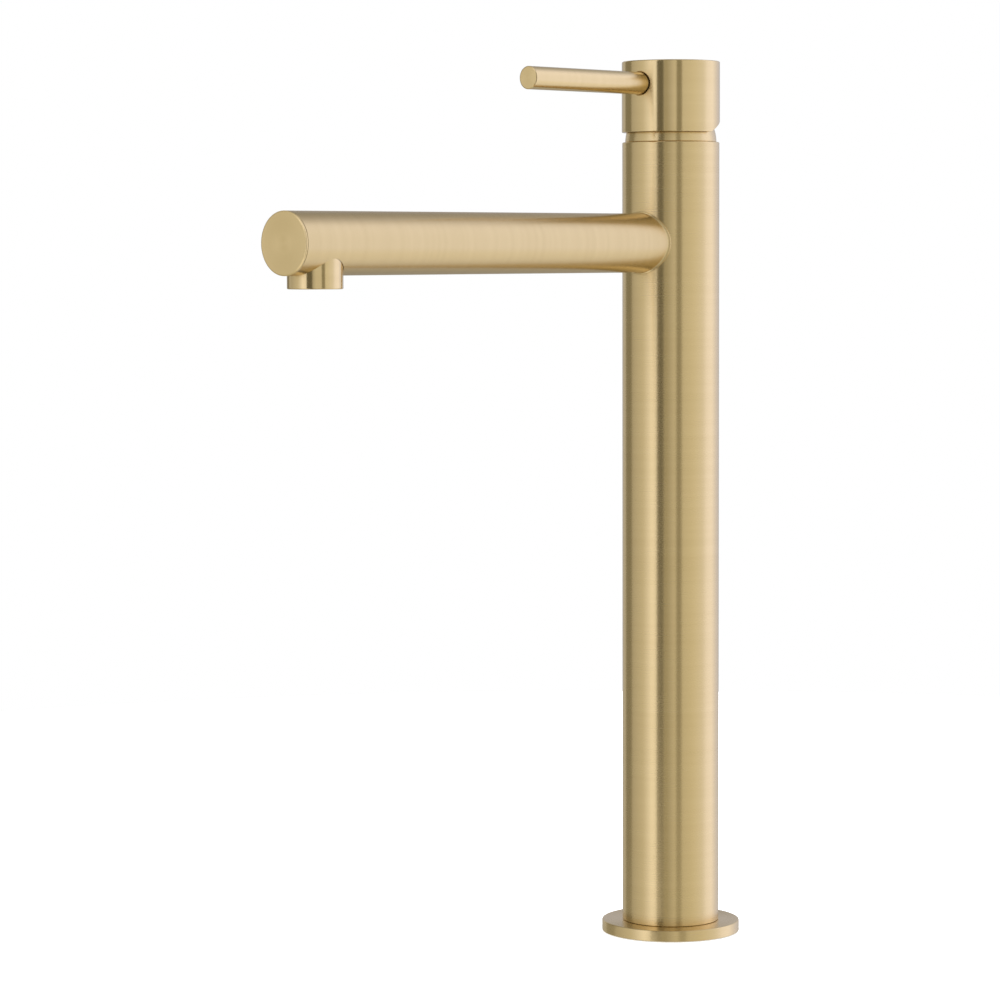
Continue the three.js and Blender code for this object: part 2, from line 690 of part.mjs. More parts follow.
// ---- Outlet: housing, washer and aerator ----
function addOutlet() {
  const bore = 8;
  const top = 247.9;
  const lip = { r: 6.4, bottom: 246.5 };
  const edge = 0.25;
  const housing = turned(
    [
      [bore, OUTLET_BOTTOM],
      [OUTLET_R - edge, OUTLET_BOTTOM],
      [OUTLET_R, OUTLET_BOTTOM + edge],
      [OUTLET_R, top],
      [lip.r, top],
      [lip.r, lip.bottom],
      [bore, lip.bottom],
    ],
    MEDIUM,
  );
  piece(outlet, "outlet_housing", housing, brushedBrass);

  const washer = { bottom: 245.3, inner: 5.4 };
  const insertR = bore - FIT;
  const washerTop = lip.bottom - SEAT;
  const washerRing = ring(washer.inner, insertR, washer.bottom, washerTop, COARSE);
  piece(outlet, "aerator_washer", washerRing, rubber);

  const bottom = OUTLET_BOTTOM + 0.8;
  const ledge = { r: 6, top: bottom + 1.5 };
  const wallR = 6.8;
  let insert = turned(
    [
      [ledge.r, bottom],
      [insertR, bottom],
      [insertR, washer.bottom - SEAT],
      [wallR, washer.bottom - SEAT],
      [wallR, ledge.top],
      [ledge.r, ledge.top],
    ],
    MEDIUM,
  );
  const notches = 8;
  for (let i = 0; i < notches / 2; i++) {
    const notch = block([-10, -0.8, bottom - 1], [10, 0.8, bottom + 0.9]);
    insert = cut(insert, notch.rotate([0, 0, (i * 360) / notches]));
  }
  piece(outlet, "aerator_insert", insert, aeratorPlastic);
  addAeratorDiscs(wallR - FIT, ledge.top + SEAT);
}

function addAeratorDiscs(r, bottom) {
  const grid = { h: 0.8, rim: 1, bar: 0.35, mid: 3.4 };
  let mesh = ring(r - grid.rim, r, bottom, bottom + grid.h, COARSE);
  mesh = join(mesh, ring(grid.mid - grid.bar, grid.mid + grid.bar, bottom, bottom + grid.h, COARSE));
  for (let i = 0; i < 3; i++) {
    const bar = block([-r + 0.5, -grid.bar, bottom], [r - 0.5, grid.bar, bottom + grid.h]);
    mesh = join(mesh, bar.rotate([0, 0, i * 60]));
  }
  piece(outlet, "aerator_grid", mesh, aeratorPlastic);

  const regulator = { bottom: bottom + 1.3, top: bottom + 4.1 };
  let disc = rod(r, regulator.bottom, regulator.top, COARSE);
  for (let i = 0; i < 8; i++) {
    const hole = rod(0.9, regulator.bottom - 1, regulator.top + 1, 10).translate(4.3, 0, 0);
    disc = cut(disc, hole.rotate([0, 0, i * 45]));
  }
  piece(outlet, "flow_regulator", disc, aeratorPlastic);

  const strainer = { bottom: regulator.top + 0.4, top: regulator.top + 2.5 };
  let dish = turned(
    [
      [0, strainer.top - 0.7],
      [3.6, strainer.top - 0.7],
      [5.2, strainer.bottom],
      [r, strainer.bottom],
      [r, strainer.bottom + 0.8],
      [5.5, strainer.bottom + 0.8],
      [3.9, strainer.top],
      [0, strainer.top],
    ],
    COARSE,
  );
  for (let i = 0; i < 3; i++) {
    const slit = block([-3, -0.3, strainer.bottom - 1], [3, 0.3, strainer.top + 1]);
    dish = cut(dish, slit.translate(0, (i - 1) * 1.6, 0));
  }
  piece(outlet, "inlet_strainer", dish, steel);
}

addFoot();
addColumn();
addSupply("hot", -SUPPLY_X);
addSupply("cold", SUPPLY_X);
addValveBody();
addCartridgeBody();
addNeck();
addTurret();
addMovingDisc();
addStem();
addCap();
addLever();
addSpout();
addNipple();
addOutlet();

export default mixer;
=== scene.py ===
# Looks of a tall brushed-gold basin mixer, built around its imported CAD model.
import json
import math

import bmesh
import bpy
from mathutils import Matrix, Vector


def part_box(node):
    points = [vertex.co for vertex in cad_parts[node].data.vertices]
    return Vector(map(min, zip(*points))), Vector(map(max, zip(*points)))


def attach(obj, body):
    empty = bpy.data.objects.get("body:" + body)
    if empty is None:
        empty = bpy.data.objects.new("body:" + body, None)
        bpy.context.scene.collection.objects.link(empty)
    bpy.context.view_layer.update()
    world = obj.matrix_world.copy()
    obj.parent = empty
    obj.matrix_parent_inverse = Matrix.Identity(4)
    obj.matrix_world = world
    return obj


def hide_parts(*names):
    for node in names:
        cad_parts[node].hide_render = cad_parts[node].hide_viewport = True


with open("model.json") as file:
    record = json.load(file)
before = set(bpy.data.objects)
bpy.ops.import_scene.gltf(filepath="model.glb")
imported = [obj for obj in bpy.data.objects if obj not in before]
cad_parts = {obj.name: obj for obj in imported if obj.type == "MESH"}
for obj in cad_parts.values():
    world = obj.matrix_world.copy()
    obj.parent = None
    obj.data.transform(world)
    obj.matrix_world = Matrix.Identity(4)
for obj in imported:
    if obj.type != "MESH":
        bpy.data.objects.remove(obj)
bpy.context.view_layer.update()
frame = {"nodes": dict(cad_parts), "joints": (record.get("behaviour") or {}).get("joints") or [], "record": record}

MM = 0.001
FINE = 192  # sides of the large turned pieces
MEDIUM = 96
SMALL = 48
WELD = 1e-6  # metres


# ---- Sizes, read from the CAD nodes, in millimetres ----
def low(node):
    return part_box(node)[0] / MM


def high(node):
    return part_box(node)[1] / MM


COLUMN_R = high("column_tube").x
COLUMN_BOTTOM = low("column_tube").z
COLUMN_TOP = high("column_tube").z
COLUMN_BORE = 15
COLUMN_FOOT_GAP = 0.1
NIPPLE_HOLE_R = 6.2  # through the column, for the piece that carries the spout
FLANGE_R = high("base_flange").x
FLANGE_H = high("base_flange").z
FLANGE_BORE = 14.8
SEAL_INNER, SEAL_OUTER, SEAL_GROOVE = 17.5, 22, 1.6  # the flange's groove for the deck seal
SPOUT_R = high("spout_end_plug").x
SPOUT_Z = (high("spout_end_plug").z + low("spout_end_plug").z) / 2
SPOUT_REACH = -low("spout_end_plug").y
SPOUT_SEAM = SPOUT_REACH - 0.75  # between the tube and its end disc
SPOUT_BORE = high("spout_socket").x + 0.15
SPOUT_SCREW_R = 2.05
SPOUT_SCREW_AT = 23  # from the column's axis
FLARE_R = high("spout_tube").x
OUTLET_R = high("outlet_housing").x
OUTLET_BOTTOM = low("outlet_housing").z
OUTLET_TOP = high("outlet_housing").z
OUTLET_Y = (high("outlet_housing").y + low("outlet_housing").y) / 2
OUTLET_FROM = -OUTLET_Y - OUTLET_R - 3  # the spout's rings stay clear of the outlet's hole
CAP_R = high("handle_cap").x
CAP_BOTTOM = low("handle_cap").z
CAP_TOP = high("handle_cap").z
LEVER_R = high("lever_pin").x
LEVER_Z = (high("lever_pin").z + low("lever_pin").z) / 2
LEVER_REACH = -low("lever_pin").y
LEVER_SEAT = 15.3  # how far from the cap's axis its recess starts
LIFT = next(joint for joint in frame["joints"] if joint["name"] == "handle_lift")
PIVOT_Z = LIFT["pos_m"][2] / MM
DOME_R = math.hypot(high("neck_dome").x, COLUMN_TOP - PIVOT_Z)
HOLLOW_R = DOME_R + 0.4  # of the cap, around the dome
WALL_GAP = 0.06  # between the spout's end and the column
RELIEF_START = 1.7  # where the cut under the back of the cap begins
RELIEF_SLOPE = math.tan(math.radians(23.3))


def socket_centre(name):
    """The middle of an opening in the foot, seen from below."""
    openings = frame["record"]["physics"]["openings"]
    lowest, highest = next(o for o in openings if o["name"] == name)["box_m"]
    return Vector((lowest[0] + highest[0], lowest[1] + highest[1], 0)) / 2


# ---- Mesh building ----
def rounded(corners, steps=4):
    """The outline of (radius, height, fillet) corners with each fillet as an arc.

    Returns points with their outward normals, walking the outline once round.
    """
    points = []
    count = len(corners)
    for i, (r, h, fillet) in enumerate(corners):
        here = Vector((r, h))
        before = Vector(corners[i - 1][:2])
        after = Vector(corners[(i + 1) % count][:2])
        into = (here - before).normalized()
        out = (after - here).normalized()
        turn = math.atan2(into.x * out.y - into.y * out.x, into.dot(out))
        if fillet <= 0 or abs(turn) < 1e-4:
            points.append((here, Vector((out.y, -out.x))))
            continue
        reach = fillet * abs(math.tan(turn / 2))
        start = here - into * reach
        side = 1 if turn > 0 else -1
        normal = Vector((into.y, -into.x))
        centre = start - normal * fillet * side
        for s in range(steps + 1):
            swing = turn * s / steps
            c, d = math.cos(swing), math.sin(swing)
            n = Vector((normal.x * c - normal.y * d, normal.x * d + normal.y * c))
            points.append((centre + n * fillet * side, n))
    return points


def new_piece(name, mesh, material):
    piece = bpy.data.objects.new(name, mesh)
    bpy.context.scene.collection.objects.link(piece)
    mesh.materials.clear()
    mesh.materials.append(material)
    return piece


def mesh_from(name, verts, faces):
    mesh = bpy.data.meshes.new(name)
    mesh.from_pydata([v * MM for v in verts], [], faces)
    bm = bmesh.new()
    bm.from_mesh(mesh)
    bmesh.ops.remove_doubles(bm, verts=bm.verts, dist=1e-8)
    bmesh.ops.recalc_face_normals(bm, faces=bm.faces)
    bm.to_mesh(mesh)
    bm.free()
    return mesh


def turned_mesh(name, corners, sides, closed=True):
    """A closed outline turned about Z. An open one starts and ends on the axis."""
    outline = [p for p, _ in rounded(corners)]
    verts = []
    faces = []
    count = len(outline)
    for i in range(sides):
        a = 2 * math.pi * i / sides
        for p in outline:
            verts.append(Vector((p.x * math.cos(a), p.x * math.sin(a), p.y)))
    last = count if closed else count - 1
    for i in range(sides):
        j = (i + 1) % sides
        for k in range(last):
            m = (k + 1) % count
            faces.append((i * count + k, j * count + k, j * count + m, i * count + m))
    return mesh_from(name, verts, faces)


def cut_mesh(mesh, cutters):
    """Cuts closed meshes out of a mesh. The cutters are used up."""
    target = bpy.data.objects.new("target", mesh)
    bpy.context.scene.collection.objects.link(target)
    tools = []
    for cutter in cutters:
        tool = bpy.data.objects.new("tool", cutter)
        bpy.context.scene.collection.objects.link(tool)
        tools.append(tool)
        modifier = target.modifiers.new("cut", "BOOLEAN")
        modifier.operation = "DIFFERENCE"
        modifier.solver = "EXACT"
        modifier.object = tool
    bpy.context.view_layer.update()
    graph = bpy.context.evaluated_depsgraph_get()
    result = bpy.data.meshes.new_from_object(target.evaluated_get(graph))
    for used in (*tools, target):
        bpy.data.objects.remove(used)
    # The cuts leave slivers along their edges, which are welded shut.
    bm = bmesh.new()
    bm.from_mesh(result)
    bmesh.ops.remove_doubles(bm, verts=bm.verts, dist=WELD)
    bmesh.ops.dissolve_degenerate(bm, edges=bm.edges, dist=WELD)
    bm.to_mesh(result)
    bm.free()
    return result


def smooth(piece, angle=28):
    """Smooth shading that keeps the sharp edges and gives large faces the say."""
    for polygon in piece.data.polygons:
        polygon.use_smooth = True
    piece.data.set_sharp_from_angle(angle=math.radians(angle))
    modifier = piece.modifiers.new("weighted", "WEIGHTED_NORMAL")
    modifier.keep_sharp = True
    modifier.weight = 100
    return piece


def along_spout(piece, z):
    """Lays a piece made about +Z along -Y, at height z."""
    piece.matrix_world = Matrix.Translation((0, 0, z * MM)) @ Matrix.Rotation(math.pi / 2, 4, "X")
    return piece


def cylinder(r, bottom, top, sides=SMALL):
    corners = [(0, bottom, 0), (r, bottom, 0), (r, top, 0), (0, top, 0)]
    return turned_mesh("cylinder", corners, sides, closed=False)


def prisms(outlines, bottom, top):
    """Upright prisms on flat outlines that don't touch, as one mesh."""
    verts = []
    faces = []
    for outline in outlines:
        first, count = len(verts), len(outline)
        verts += [Vector((x, y, z)) for z in (bottom, top) for x, y in outline]
        faces.append([first + k for k in range(count)][::-1])
        faces.append([first + count + k for k in range(count)])
        for k in range(count):
            m = (k + 1) % count
            faces.append((first + k, first + m, first + count + m, first + count + k))
    return mesh_from("prisms", verts, faces)


def moved(mesh, matrix):
    mesh.transform(matrix)
    return mesh


# ---- Materials ----
def node(tree, kind, **values):
    made = tree.nodes.new(kind)
    for key, value in values.items():
        if key in made.inputs:
            made.inputs[key].default_value = value
        else:
            setattr(made, key, value)
    return made


def new_material(name):
    material = bpy.data.materials.new(name)
    material.use_nodes = True
    tree = material.node_tree
    tree.nodes.clear()
    shader = tree.nodes.new("ShaderNodeBsdfPrincipled")
    output = tree.nodes.new("ShaderNodeOutputMaterial")
    tree.links.new(shader.outputs["BSDF"], output.inputs["Surface"])
    return material, tree, shader


def scaled(tree, source, low_value, high_value):
    """Maps a 0 to 1 value to a range."""
    mapped = node(tree, "ShaderNodeMapRange")
    mapped.inputs["To Min"].default_value = low_value
    mapped.inputs["To Max"].default_value = high_value
    tree.links.new(source, mapped.inputs["Value"])
    return mapped.outputs["Result"]


def tinted(tree, source, dark, light):
    ramp = node(tree, "ShaderNodeValToRGB")
    ramp.color_ramp.elements[0].color = (*dark, 1)
    ramp.color_ramp.elements[1].color = (*light, 1)
    ramp.color_ramp.elements[0].position = 0.3
    ramp.color_ramp.elements[1].position = 0.7
    tree.links.new(source, ramp.inputs["Fac"])
    return ramp.outputs["Color"]


def turning_marks(tree, along, around, detail):
    """Noise drawn out round the local Z axis: fine across the marks, long along them."""
    coordinates = node(tree, "ShaderNodeTexCoord")
    split = node(tree, "ShaderNodeSeparateXYZ")
    tree.links.new(coordinates.outputs["Object"], split.inputs[0])
    flat = node(tree, "ShaderNodeCombineXYZ")
    tree.links.new(split.outputs["X"], flat.inputs["X"])
    tree.links.new(split.outputs["Y"], flat.inputs["Y"])
    radius = node(tree, "ShaderNodeVectorMath", operation="LENGTH")
    tree.links.new(flat.outputs[0], radius.inputs[0])
    stretch = node(tree, "ShaderNodeVectorMath", operation="MULTIPLY")
    stretch.inputs[1].default_value = (around, around, along)
    tree.links.new(coordinates.outputs["Object"], stretch.inputs[0])
    depth = node(tree, "ShaderNodeMath", operation="MULTIPLY")
    depth.inputs[1].default_value = along
    tree.links.new(radius.outputs["Value"], depth.inputs[0])
    noise = node(tree, "ShaderNodeTexNoise", noise_dimensions="4D")
    noise.inputs["Scale"].default_value = 1
    noise.inputs["Detail"].default_value = detail
    tree.links.new(stretch.outputs[0], noise.inputs["Vector"])
    tree.links.new(depth.outputs[0], noise.inputs["W"])
    return noise.outputs["Fac"]


def add_bump(tree, shader, source, strength, distance):
    bump = node(tree, "ShaderNodeBump")
    bump.inputs["Strength"].default_value = strength
    bump.inputs["Distance"].default_value = distance
    tree.links.new(source, bump.inputs["Height"])
    tree.links.new(bump.outputs["Normal"], shader.inputs["Normal"])


DARKER_GOLD = (0.785, 0.600, 0.300)
LIGHTER_GOLD = (0.815, 0.626, 0.318)


def brushed_gold(name, smoothest, roughest, painted_lighting_factor=1):
    """Satin gold with fine marks round the turned axis, which stretch highlights along it."""
    material, tree, shader = new_material(name)
    shader.inputs["Metallic"].default_value = 1
    shader.inputs["Anisotropic"].default_value = 0.82
    shader.inputs["Anisotropic Rotation"].default_value = 0.25
    tangent = node(tree, "ShaderNodeTangent", direction_type="RADIAL", axis="Z")
    tree.links.new(tangent.outputs[0], shader.inputs["Tangent"])
    fine = turning_marks(tree, along=2600, around=55, detail=3)
    broad = turning_marks(tree, along=420, around=12, detail=2)
    # The last argument scales the base colour: above 1 it is painted light, below 1 painted shade.
    dark = [c * painted_lighting_factor for c in DARKER_GOLD]
    light = [c * painted_lighting_factor for c in LIGHTER_GOLD]
    colour = tinted(tree, broad, dark, light)
    tree.links.new(colour, shader.inputs["Base Color"])
    tree.links.new(scaled(tree, fine, smoothest, roughest), shader.inputs["Roughness"])
    add_bump(tree, shader, fine, 0.045, 0.00001)
    return material


def cast_metal(name, dark, light, roughness):
    """Plain machined metal of the pieces inside."""
    material, tree, shader = new_material(name)
    shader.inputs["Metallic"].default_value = 1
    shader.inputs["Anisotropic"].default_value = 0.3
    marks = turning_marks(tree, along=1500, around=90, detail=4)
    tree.links.new(tinted(tree, marks, dark, light), shader.inputs["Base Color"])
    rough = scaled(tree, marks, roughness - 0.08, roughness + 0.12)
    tree.links.new(rough, shader.inputs["Roughness"])
    add_bump(tree, shader, marks, 0.3, 0.00003)
    return material


def moulded(name, dark, light, roughness, grain, specular):
    """Plastic, rubber or ceramic, with a fine all-round grain."""
    material, tree, shader = new_material(name)
    shader.inputs["Specular IOR Level"].default_value = specular
    coordinates = node(tree, "ShaderNodeTexCoord")
    noise = node(tree, "ShaderNodeTexNoise")
    noise.inputs["Scale"].default_value = grain
    noise.inputs["Detail"].default_value = 5
    tree.links.new(coordinates.outputs["Object"], noise.inputs["Vector"])
    speckle = noise.outputs["Fac"]
    tree.links.new(tinted(tree, speckle, dark, light), shader.inputs["Base Color"])
    rough = scaled(tree, speckle, roughness - 0.07, roughness + 0.1)
    tree.links.new(rough, shader.inputs["Roughness"])
    add_bump(tree, shader, speckle, 0.2, 0.00004)
    return material


GOLD = brushed_gold("brushed_gold", 0.245, 0.29)
FINE_GOLD = brushed_gold("fine_brushed_gold", 0.165, 0.235)  # the small turned pieces shine more
PAINTED_LIGHT_FACE_GOLD = brushed_gold("painted_light_face_gold", 0.22, 0.29, painted_lighting_factor=1.12)  # the flat ends, their base colour lifted 12 percent as painted light
# The spout's copy of the gold has its base colour darkened as painted shade.
PAINTED_SHADE_SPOUT_GOLD = brushed_gold("painted_shade_spout_gold", 0.24, 0.28, painted_lighting_factor=0.935)
METALS = {  # darker and lighter colour, roughness
    "raw_brass": ((0.55, 0.37, 0.15), (0.72, 0.52, 0.25), 0.35),
    "copper_tube": ((0.58, 0.29, 0.17), (0.74, 0.41, 0.26), 0.32),
    "stainless": ((0.5, 0.5, 0.51), (0.66, 0.66, 0.67), 0.3),
}
MOULDINGS = {  # darker and lighter colour, roughness, scale of the grain, specular level
    "rubber_black": ((0.012, 0.012, 0.012), (0.03, 0.03, 0.03), 0.75, 900, 0.3),
    "housing_plastic": ((0.72, 0.71, 0.66), (0.8, 0.79, 0.74), 0.45, 700, 0.5),
    "turret_plastic": ((0.04, 0.06, 0.09), (0.06, 0.09, 0.13), 0.45, 700, 0.5),
    "aerator_plastic": ((0.6, 0.61, 0.6), (0.7, 0.71, 0.7), 0.4, 700, 0.5),
    "ceramic": ((0.82, 0.81, 0.77), (0.9, 0.89, 0.86), 0.2, 1400, 0.5),
}
MATERIALS = {
    "brushed_gold": GOLD,
    **{name: cast_metal(name, *look) for name, look in METALS.items()},
    **{name: moulded(name, *look) for name, look in MOULDINGS.items()},
}


def dress_cad_nodes():
    for entry in frame["record"]["subparts"]:
        piece = frame["nodes"][entry["node"]]
        piece.data.materials.clear()
        piece.data.materials.append(MATERIALS[entry["material_slot"]])


# ---- Visible pieces ----
def make_flange():
    corners = [
        (FLANGE_BORE, 0, 0.1),
        (SEAL_INNER, 0, 0.1),
        (SEAL_INNER, SEAL_GROOVE, 0.1),
        (SEAL_OUTER, SEAL_GROOVE, 0.1),
        (SEAL_OUTER, 0, 0.1),
        (FLANGE_R, 0, 0.25),
        (FLANGE_R, FLANGE_H, 0.4),
        (FLANGE_BORE, FLANGE_H, 0.1),
    ]
    flange = new_piece("flange", turned_mesh("flange", corners, FINE), GOLD)
    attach(smooth(flange), "body")
    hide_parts("base_flange")


def make_seal():
    gap = 0.15
    top = high("deck_seal").z
    corners = [
        (SEAL_INNER + gap, 0, 0.3),
        (SEAL_OUTER - gap, 0, 0.3),
        (SEAL_OUTER - gap, top, 0.15),
        (SEAL_INNER + gap, top, 0.15),
    ]
    seal = new_piece(
        "seal", turned_mesh("seal", corners, MEDIUM), MATERIALS["rubber_black"]
    )
    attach(smooth(seal), "body")
    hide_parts("deck_seal")


def tapped_hole(place, major, pitch, depth):
    """A cutter for a tapped hole from below: ring grooves and a countersunk mouth."""
    tooth = 0.54 * pitch
    mouth = major + 0.35
    corners = [(0, -1, 0), (mouth, -1, 0), (mouth, 0.1, 0), (major - tooth, 0.9, 0)]
    z = 1.0
    while z + pitch < depth - 1.5:
        corners.append((major - tooth, z, 0))
        corners.append((major, z + 0.45 * pitch, 0))
        corners.append((major, z + 0.55 * pitch, 0))
        z += pitch
    corners += [(major - tooth, z, 0), (major - tooth, depth, 0), (0, depth, 0)]
    return moved(turned_mesh("tapped", corners, SMALL, closed=False), Matrix.Translation(place))


def make_foot():
    radius = high("foot_plug").x
    top = high("foot_plug").z
    spigot = 14.6
    shoulder = FLANGE_H + 0.3
    tube_wall = 1.5
    passage_start = 11
    corners = [
        (0, 0, 0),
        (spigot, 0, 0.3),
        (spigot, shoulder, 0.1),
        (radius, shoulder, 0.15),
        (radius, top, 0.4),
        (0, top, 0),
    ]
    cutters = [tapped_hole(socket_centre("stud_socket"), 4, 1.25, 14)]
    for side in ("hot", "cold"):
        cutters.append(tapped_hole(socket_centre(f"{side}_hose_socket"), 5, 1, 12))
        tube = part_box(f"supply_tube_{side}")
        axis = (tube[0] + tube[1]) / 2
        # The small turn keeps the cutters' corners from lining up.
        place = Matrix.Translation((axis.x, axis.y, 0)) @ Matrix.Rotation(math.radians(2), 4, "Z")
        tube_r = (tube[1].x - tube[0].x) / 2 / MM
        passage_r, socket_r = tube_r - tube_wall, tube_r + 0.2
        socket_floor = tube[0].z / MM - 0.3
        outline = [
            (0, passage_start, 0),
            (passage_r, passage_start, 0),
            (passage_r, socket_floor, 0),
            (socket_r, socket_floor, 0),
            (socket_r, top + 1, 0),
            (0, top + 1, 0),
        ]
        cutters.append(moved(turned_mesh("passage", outline, SMALL, closed=False), place))
    mesh = cut_mesh(turned_mesh("foot", corners, MEDIUM, closed=False), cutters)
    foot = new_piece("foot", mesh, MATERIALS["raw_brass"])
    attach(smooth(foot), "body")
    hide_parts("foot_plug")


def make_column():
    edge = 0.45
    band = 9  # the hole for the nipple lies within this height of the spout's axis
    corners = [
        (COLUMN_BORE, COLUMN_BOTTOM + COLUMN_FOOT_GAP, 0.1),
        (COLUMN_R, COLUMN_BOTTOM + COLUMN_FOOT_GAP, 0.2),
        (COLUMN_R, SPOUT_Z - band, 0),
        (COLUMN_R, SPOUT_Z + band, 0),
        (COLUMN_R, COLUMN_TOP, edge),
        (COLUMN_BORE, COLUMN_TOP, 0.1),
        (COLUMN_BORE, SPOUT_Z + band, 0),
        (COLUMN_BORE, SPOUT_Z - band, 0),
    ]
    hole = cylinder(NIPPLE_HOLE_R, 0, COLUMN_R + 5)
    place = Matrix.Translation((0, 0, SPOUT_Z * MM)) @ Matrix.Rotation(math.pi / 2, 4, "X")
    mesh = cut_mesh(turned_mesh("column", corners, FINE), [moved(hole, place)])
    column = new_piece("column", mesh, GOLD)
    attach(smooth(column), "body")
    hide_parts("column_tube")


def sphere_arc(radius, start, end, steps):
    """Outline corners on a sphere about the pivot, between two elevations in degrees."""
    corners = []
    for i in range(steps + 1):
        a = math.radians(start + (end - start) * i / steps)
        corners.append((radius * math.cos(a), PIVOT_Z + radius * math.sin(a), 0))
    return corners


def make_dome():
    foot = COLUMN_TOP + 0.05
    lowest = math.degrees(math.asin((foot + 0.15 - PIVOT_Z) / DOME_R))
    mouth = 51.2  # degrees above the pivot
    skirt_inner, skirt_outer = 13.15, 14.85
    skirt_bottom = COLUMN_TOP - 3.2
    corners = [
        (skirt_inner, skirt_bottom, 0.1),
        (skirt_outer, skirt_bottom, 0.1),
        (skirt_outer, foot, 0.05),
        (math.sqrt(DOME_R ** 2 - (foot - PIVOT_Z) ** 2) - 0.15, foot, 0),
        *sphere_arc(DOME_R, lowest, mouth, 22),
        *sphere_arc(DOME_R - 1.1, mouth, 20, 12),
        (skirt_inner, PIVOT_Z + 4, 0),
    ]
    dome = new_piece("dome", turned_mesh("dome", corners, FINE), GOLD)
    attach(smooth(dome), "body")
    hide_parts("neck_dome")


def cap_mesh():
    """The cap before the lever's recess is cut.

    It is a turned shell whose lower edge climbs at the back.
    """
    edge = 0.5
    lip = 0.22
    hollow_steps = 24
    sides = FINE
    verts = []
    rows = 0
    for i in range(sides):
        a = 2 * math.pi * i / sides

        def under(r):
            return CAP_BOTTOM + max(0, r * math.sin(a) - RELIEF_START) * RELIEF_SLOPE

        # The hollow meets the lower face at an elevation found by halving.
        flat, steep = 0.05, math.pi / 2
        for _ in range(40):
            middle = (flat + steep) / 2
            above = PIVOT_Z + HOLLOW_R * math.sin(middle) > under(HOLLOW_R * math.cos(middle))
            flat, steep = (flat, middle) if above else (middle, steep)
        profile = []
        for s in range(hollow_steps + 1):
            e = math.pi / 2 + (flat - math.pi / 2) * s / hollow_steps
            profile.append((HOLLOW_R * math.cos(e), PIVOT_Z + HOLLOW_R * math.sin(e)))
        for s in range(4):
            b = math.pi / 2 * s / 3
            r = CAP_R - lip + lip * math.sin(b)
            profile.append((r, under(CAP_R - lip) + lip * (1 - math.cos(b))))
        foot = profile[-1][1]
        for s in range(1, 6):
            profile.append((CAP_R, foot + (CAP_TOP - edge - foot) * s / 5))
        for s in range(1, 6):
            b = math.pi / 2 * s / 5
            profile.append((CAP_R - edge + edge * math.cos(b), CAP_TOP - edge + edge * math.sin(b)))
        profile.append((0, CAP_TOP))
        rows = len(profile)
        verts += [Vector((r * math.cos(a), r * math.sin(a), z)) for r, z in profile]
    faces = []
    for i in range(sides):
        j = (i + 1) % sides
        for k in range(rows - 1):
            faces.append((i * rows + k, j * rows + k, j * rows + k + 1, i * rows + k + 1))
    return mesh_from("cap", verts, faces)


def make_cap():
    recess_gap = 0.42
    thread_r = 3.05
    recess = cylinder(LEVER_R + recess_gap, LEVER_SEAT, 30, 64)
    place = Matrix.Translation((0, 0, LEVER_Z * MM)) @ Matrix.Rotation(math.pi / 2, 4, "X")
    thread = cylinder(thread_r, 0, 20, 32)
    cap = new_piece(
        "cap",
        cut_mesh(cap_mesh(), [moved(recess, place), moved(thread, place)]),
        FINE_GOLD,
    )
    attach(smooth(cap), "handle")
    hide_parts("handle_cap")


def make_lever():
    shoulder = LEVER_SEAT + 0.3
    spigot_r, spigot_start = 2.9, 9.6
    corners = [
        (0, spigot_start, 0),
        (spigot_r, spigot_start, 0.3),
        (spigot_r, shoulder, 0.05),
        (LEVER_R, shoulder, 0.2),
        (LEVER_R, LEVER_REACH - 0.17, 0.06),
        (LEVER_R - 0.34, LEVER_REACH, 0.05),
        (0, LEVER_REACH, 0),
    ]
    mesh = turned_mesh("lever", corners, MEDIUM, closed=False)
    lever = along_spout(new_piece("lever", mesh, FINE_GOLD), LEVER_Z)
    # The flat end gets the brightened copy of the gold: painted light in its base colour.
    mesh.materials.append(PAINTED_LIGHT_FACE_GOLD)
    for polygon in mesh.polygons:
        if polygon.center.z > (LEVER_REACH - 0.01) * MM:
            polygon.material_index = 1
    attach(smooth(lever), "handle")
    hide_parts("lever_pin")


def spout_mesh():
    """The tube, with its flare and a thin rounded lip that sits on the round column."""
    wall = COLUMN_R + WALL_GAP
    flare, flare_power = 18, 2.6
    level = wall + flare + 3  # beyond this the rings are flat
    lip, lip_round, lip_width = 0.42, 0.2, 0.3
    fillet_run, fillet_rise = 0.5, 0.24
    growth = FLARE_R - lip_width - fillet_rise - SPOUT_R

    def flared(share):
        return SPOUT_R + growth * (1 - share) ** flare_power

    outline = [(SPOUT_BORE, wall), (FLARE_R, wall)]
    for s in range(5):
        swing = math.pi / 2 * s / 4
        rise = lip - lip_round * (1 - math.sin(swing))
        outline.append((FLARE_R - lip_round * (1 - math.cos(swing)), wall + rise))
    for s in range(6):
        swing = math.pi / 2 * s / 5
        run = fillet_run * (1 - math.cos(swing))
        r = flared(run / flare) + fillet_rise * (1 - math.sin(swing))
        outline.append((r, wall + lip + 0.01 + run))
    for s in range(1, 19):
        share = s / 18
        outline.append((flared(share), wall + lip + 0.01 + flare * share))
    edge = 0.12
    outline += [(SPOUT_R, level), (SPOUT_R, OUTLET_FROM), (SPOUT_R, SPOUT_SEAM - edge)]
    outline += [(SPOUT_R - edge, SPOUT_SEAM), (SPOUT_BORE, SPOUT_SEAM)]
    outline += [(SPOUT_BORE, OUTLET_FROM), (SPOUT_BORE, level)]
    sides = FINE
    verts = []
    for i in range(sides):
        a = 2 * math.pi * i / sides
        for r, h in outline:
            x, z = r * math.cos(a), r * math.sin(a)
            fade = min(1, max(0, (level - h) / (level - wall)))
            sag = math.sqrt(wall ** 2 - x ** 2) - wall
            verts.append(Vector((x, z, h + sag * fade)))
    count = len(outline)
    faces = []
    for i in range(sides):
        j = (i + 1) % sides
        for k in range(count):
            m = (k + 1) % count
            faces.append((i * count + k, j * count + k, j * count + m, i * count + m))
    return mesh_from("spout", verts, faces)


